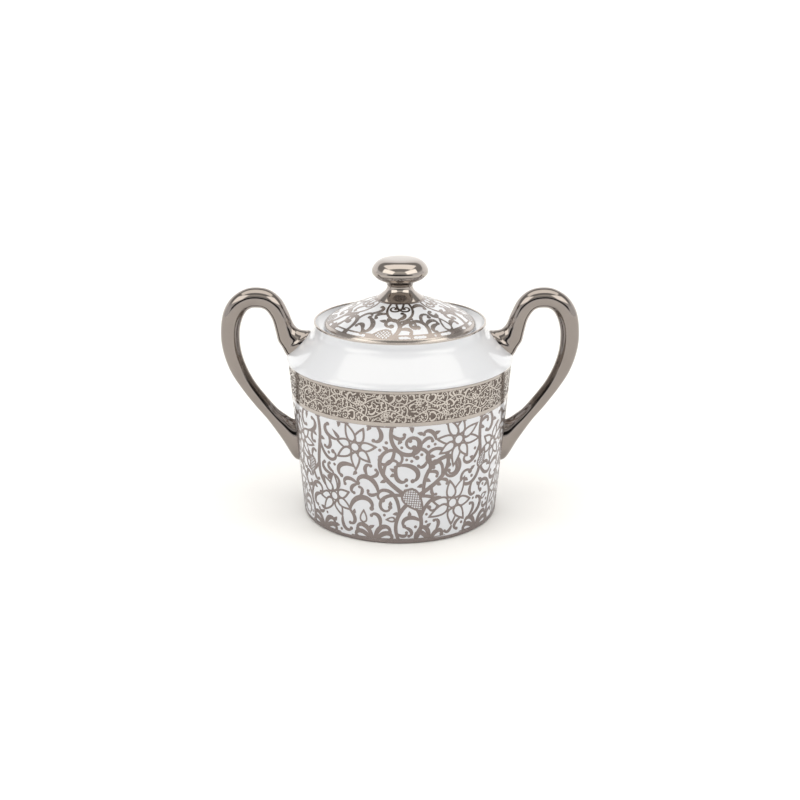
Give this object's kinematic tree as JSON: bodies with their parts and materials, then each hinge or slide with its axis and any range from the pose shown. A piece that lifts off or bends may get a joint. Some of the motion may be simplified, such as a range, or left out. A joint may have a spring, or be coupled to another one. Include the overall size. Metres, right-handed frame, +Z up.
{
  "type": "sugar bowl",
  "caption": "Lidded sugar bowl with a tapering drum, sloping shoulder, two tall loop handles and a domed lid with a mushroom knob, in white porcelain with platinum decoration.",
  "frame": {"origin": "centre of the foot ring, on the surface the bowl stands on", "axes": "+Z up along the bowl's axis, +X through the right handle, -Y to the front"},
  "size_m": [0.134, 0.0848, 0.0979],
  "materials": {
    "white_glaze": "glossy white glaze over porcelain",
    "etched_platinum": "acid-etched relief under platinum, polished on the raised lines and satin in the ground",
    "platinum_line": "polished platinum line on the glaze",
    "scroll_print": "scroll and flower print in platinum on white glaze",
    "polished_platinum": "porcelain covered all over with polished platinum"
  },
  "bodies": {
    "bowl": {"bowl_shell": "white_glaze", "etched_band": "etched_platinum", "mouth_line": "platinum_line", "base_line": "platinum_line", "front_transfer": "scroll_print", "back_transfer": "scroll_print", "right_handle": "polished_platinum", "left_handle": "polished_platinum"},
    "lid": {"lid_shell": "white_glaze", "lid_edge_band": "platinum_line", "lid_transfer": "scroll_print", "knob": "polished_platinum"}
  },
  "joints": [
    {"name": "lid_lift", "type": "slide", "parent": "bowl", "child": "lid", "axis": [0, 0, 1], "range_m": [0, 0.06]}
  ]
}
